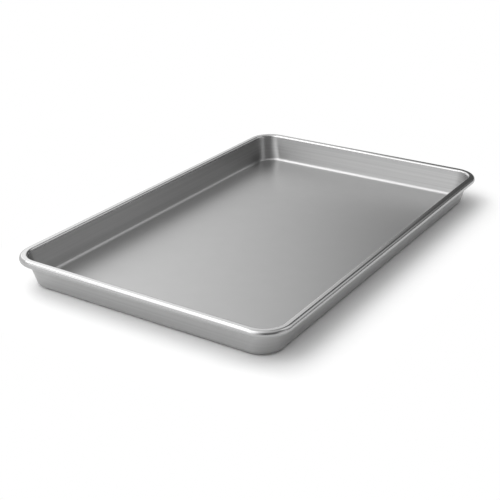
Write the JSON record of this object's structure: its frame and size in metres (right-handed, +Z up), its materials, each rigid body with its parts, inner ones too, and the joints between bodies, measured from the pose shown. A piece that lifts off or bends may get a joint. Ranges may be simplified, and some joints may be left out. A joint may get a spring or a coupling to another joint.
{
  "type": "jelly roll pan",
  "caption": "Shallow rectangular steel baking pan with rounded corners, drafted walls and a rolled rim over a stiffening wire.",
  "frame": {"origin": "middle of the flat underside, on the surface that the pan stands on", "axes": "+X along the pan's length, +Y along its width, +Z up out of the open top"},
  "size_m": [0.4318, 0.2794, 0.029],
  "materials": {
    "sheet": "satin aluminised steel, finely brushed",
    "wire": "drawn steel wire, dull"
  },
  "bodies": {
    "root": {"pan_shell": "sheet", "rim_wire": "wire"}
  },
  "joints": []
}
